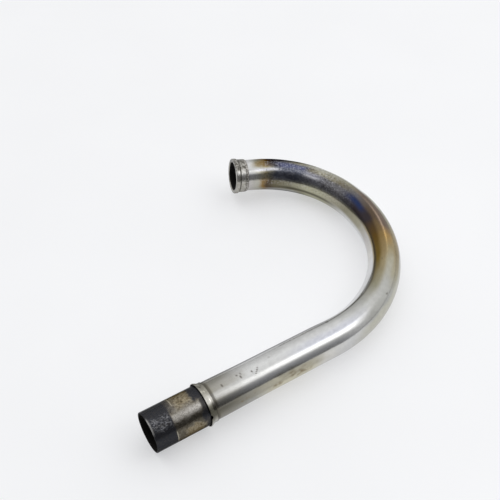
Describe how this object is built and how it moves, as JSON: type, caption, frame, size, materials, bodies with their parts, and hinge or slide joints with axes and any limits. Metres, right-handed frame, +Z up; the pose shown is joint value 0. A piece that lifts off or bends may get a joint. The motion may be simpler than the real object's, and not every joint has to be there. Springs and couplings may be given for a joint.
{
  "type": "motorcycle exhaust header",
  "caption": "Bent steel exhaust header: a rounded collar welded on the head end, a wide hook bend with heat tint, a thin stop ring and a bare, expanded, sooty muffler end.",
  "frame": {"origin": "centre of the bounding box on the floor the header lies on", "axes": "+Z up as it lies at rest, +X from the muffler mouth along the straight end towards the bend, +Y towards the head end"},
  "size_m": [0.4121, 0.3382, 0.0573],
  "materials": {
    "header_tube": "polished, straw to blue heat tint on the bend, soot and rust on the bare end",
    "head_collar": "turned, worn and grimy",
    "collar_weld": "rough weld bead",
    "stop_ring": "plain sheet, slightly tarnished"
  },
  "bodies": {
    "root": {"header_tube": "header_tube", "head_collar": "head_collar", "collar_weld": "collar_weld", "stop_ring": "stop_ring"}
  },
  "joints": []
}
